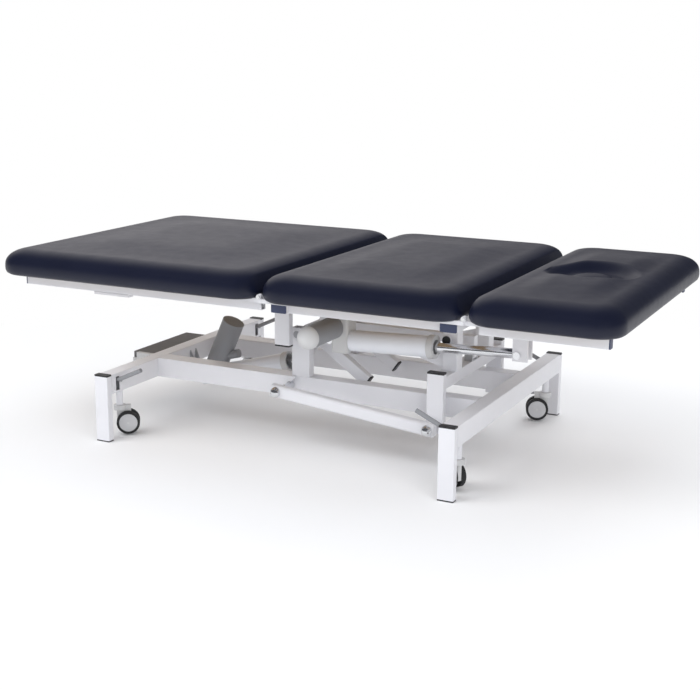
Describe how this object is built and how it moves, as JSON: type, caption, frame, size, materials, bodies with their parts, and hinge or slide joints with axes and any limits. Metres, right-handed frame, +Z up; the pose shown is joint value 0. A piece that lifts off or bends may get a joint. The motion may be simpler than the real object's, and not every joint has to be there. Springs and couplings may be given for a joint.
{
  "type": "treatment couch",
  "caption": "Electric hi-lo treatment couch: three padded sections on a linked lift frame, with a breathing hole, two actuators and foot-operated castors.",
  "frame": {"origin": "on the floor under the middle of the top", "axes": "+X to the head end, +Y to the far side, +Z up"},
  "size_m": [2.02, 1.02, 0.6],
  "materials": {
    "white_powder_coat": "satin",
    "black_plastic": "matte",
    "navy_plastic": "matte",
    "light_grey_plastic": "satin",
    "dark_grey_plastic": "matte",
    "chrome": "polished",
    "zinc_steel": "satin",
    "aluminium_tube": "satin",
    "birch_ply": "matte",
    "navy_vinyl": "satin",
    "grey_rubber": "matte"
  },
  "bodies": {
    "base": {"base_posts": "white_powder_coat", "post_ends": "black_plastic", "base_cross_members": "white_powder_coat", "base_rails": "white_powder_coat", "rail_covers": "white_powder_coat", "pylons": "white_powder_coat", "link_shaft": "zinc_steel", "control_box": "light_grey_plastic", "control_box_end": "light_grey_plastic", "lift_rear_bracket": "zinc_steel"},
    "lower_arms": {"lift_arms": "white_powder_coat", "arm_shafts": "chrome"},
    "upper_link": {"upper_link": "white_powder_coat", "lever_caps": "black_plastic"},
    "carriage": {"lift_frame": "white_powder_coat", "stub_axles": "chrome", "link_lugs": "zinc_steel", "uprights": "white_powder_coat", "carriage_caps": "black_plastic", "drop_posts": "white_powder_coat", "middle_frame": "white_powder_coat", "middle_frame_caps": "navy_plastic", "hinge_pins": "chrome", "middle_board": "birch_ply", "middle_cushion": "navy_vinyl"},
    "leg_section": {"leg_frame": "white_powder_coat", "leg_frame_caps": "navy_plastic", "leg_board": "birch_ply", "leg_cushion": "navy_vinyl"},
    "head_section": {"head_frame": "white_powder_coat", "head_frame_caps": "navy_plastic", "head_pin": "chrome", "head_board": "birch_ply", "head_cushion": "navy_vinyl"},
    "face_plug": {"face_plug": "navy_vinyl"},
    "lift_actuator": {"lift_motor": "dark_grey_plastic", "lift_tube": "aluminium_tube", "lift_collar": "light_grey_plastic", "lift_knob": "dark_grey_plastic"},
    "lift_rod": {"lift_rod": "chrome"},
    "head_actuator": {"head_motor": "dark_grey_plastic", "head_motor_dome": "light_grey_plastic", "head_gearbox": "light_grey_plastic", "head_tube": "aluminium_tube", "head_collar": "light_grey_plastic"},
    "head_rod": {"head_rod": "chrome"},
    "lever_fl": {"stem_fl": "zinc_steel"},
    "swivel_fl": {"housing_fl": "light_grey_plastic"},
    "wheels_fl": {"wheels_fl": "grey_rubber"},
    "lever_rl": {"stem_rl": "zinc_steel"},
    "swivel_rl": {"housing_rl": "light_grey_plastic"},
    "wheels_rl": {"wheels_rl": "grey_rubber"},
    "lever_fr": {"stem_fr": "zinc_steel"},
    "swivel_fr": {"housing_fr": "light_grey_plastic"},
    "wheels_fr": {"wheels_fr": "grey_rubber"},
    "lever_rr": {"stem_rr": "zinc_steel"},
    "swivel_rr": {"housing_rr": "light_grey_plastic"},
    "wheels_rr": {"wheels_rr": "grey_rubber"},
    "pedal_rl": {"pedal_rl": "dark_grey_plastic"},
    "pedal_rr": {"pedal_rr": "dark_grey_plastic"}
  },
  "joints": [
    {"name": "lift", "type": "hinge", "parent": "base", "child": "lower_arms", "pos_m": [-0.122, 0, 0.187], "axis": [0, -1, 0], "range_deg": [0, 50]},
    {"name": "upper_link_swing", "type": "hinge", "parent": "base", "child": "upper_link", "pos_m": [-0.103, 0, 0.353], "axis": [0, -1, 0], "range_deg": [0, 50]},
    {"name": "carriage_level", "type": "hinge", "parent": "lower_arms", "child": "carriage", "pos_m": [0.393, 0, 0.136], "axis": [0, -1, 0], "range_deg": [-50, 0]},
    {"name": "leg_raise", "type": "hinge", "parent": "carriage", "child": "leg_section", "pos_m": [-0.078, 0, 0.526], "axis": [0, 1, 0], "range_deg": [0, 40]},
    {"name": "head_raise", "type": "hinge", "parent": "carriage", "child": "head_section", "pos_m": [0.567, 0, 0.526], "axis": [0, -1, 0], "range_deg": [-10, 40]},
    {"name": "plug_lift", "type": "slide", "parent": "head_section", "child": "face_plug", "axis": [0, 0, 1], "range_m": [0, 0.1]},
    {"name": "lift_actuator_swing", "type": "hinge", "parent": "base", "child": "lift_actuator", "pos_m": [-0.605, 0, 0.107], "axis": [0, -1, 0], "range_deg": [-7.1, 0.1]},
    {"name": "lift_rod_swing", "type": "hinge", "parent": "upper_link", "child": "lift_rod", "pos_m": [-0.193, 0, 0.217], "axis": [0, -1, 0], "range_deg": [-57.1, 0.1]},
    {"name": "head_actuator_swing", "type": "hinge", "parent": "carriage", "child": "head_actuator", "pos_m": [0.022, -0.193, 0.352], "axis": [0, -1, 0], "range_deg": [-1.6, 6]},
    {"name": "head_rod_swing", "type": "hinge", "parent": "head_section", "child": "head_rod", "pos_m": [0.635, -0.193, 0.375], "axis": [0, -1, 0], "range_deg": [-34.3, 8.6]},
    {"name": "castor_drop_fl", "type": "slide", "parent": "base", "child": "lever_fl", "axis": [0, 0, -1], "range_m": [0, 0.026]},
    {"name": "castor_swivel_fl", "type": "hinge", "parent": "lever_fl", "child": "swivel_fl", "pos_m": [-0.653, -0.398, 0.09], "axis": [0, 0, 1], "continuous": true},
    {"name": "castor_roll_fl", "type": "hinge", "parent": "swivel_fl", "child": "wheels_fl", "pos_m": [-0.6317, -0.38309, 0.0425], "axis": [-0.5736, 0.8192, 0], "continuous": true},
    {"name": "castor_drop_rl", "type": "slide", "parent": "base", "child": "lever_rl", "axis": [0, 0, -1], "range_m": [0, 0.026]},
    {"name": "castor_swivel_rl", "type": "hinge", "parent": "lever_rl", "child": "swivel_rl", "pos_m": [-0.653, 0.398, 0.09], "axis": [0, 0, 1], "continuous": true},
    {"name": "castor_roll_rl", "type": "hinge", "parent": "swivel_rl", "child": "wheels_rl", "pos_m": [-0.64, 0.42052, 0.0425], "axis": [-0.866, 0.5, 0], "continuous": true},
    {"name": "castor_drop_fr", "type": "slide", "parent": "base", "child": "lever_fr", "axis": [0, 0, -1], "range_m": [0, 0.026]},
    {"name": "castor_swivel_fr", "type": "hinge", "parent": "lever_fr", "child": "swivel_fr", "pos_m": [0.533, -0.398, 0.09], "axis": [0, 0, 1], "continuous": true},
    {"name": "castor_roll_fr", "type": "hinge", "parent": "swivel_fr", "child": "wheels_fr", "pos_m": [0.51048, -0.385, 0.0425], "axis": [-0.5, -0.866, 0], "continuous": true},
    {"name": "castor_drop_rr", "type": "slide", "parent": "base", "child": "lever_rr", "axis": [0, 0, -1], "range_m": [0, 0.026]},
    {"name": "castor_swivel_rr", "type": "hinge", "parent": "lever_rr", "child": "swivel_rr", "pos_m": [0.533, 0.398, 0.09], "axis": [0, 0, 1], "continuous": true},
    {"name": "castor_roll_rr", "type": "hinge", "parent": "swivel_rr", "child": "wheels_rr", "pos_m": [0.50857, 0.38911, 0.0425], "axis": [0.342, -0.9397, 0], "continuous": true},
    {"name": "pedal_press_rl", "type": "hinge", "parent": "swivel_rl", "child": "pedal_rl", "pos_m": [-0.6334, 0.43195, 0.097], "axis": [-0.866, 0.5, 0], "range_deg": [0, 12]},
    {"name": "pedal_press_rr", "type": "hinge", "parent": "swivel_rr", "child": "pedal_rr", "pos_m": [0.49616, 0.38459, 0.097], "axis": [0.342, -0.9397, 0], "range_deg": [0, 12]}
  ],
  "couplings": [
    {"joint": "upper_link_swing", "follows": "lift", "ratio": 1},
    {"joint": "carriage_level", "follows": "lift", "ratio": -1},
    {"joint": "lift_actuator_swing", "follows": "lift", "ratio": -0.14},
    {"joint": "lift_rod_swing", "follows": "lift", "ratio": -1.14},
    {"joint": "head_actuator_swing", "follows": "head_raise", "ratio": 0.145},
    {"joint": "head_rod_swing", "follows": "head_raise", "ratio": -0.855}
  ]
}
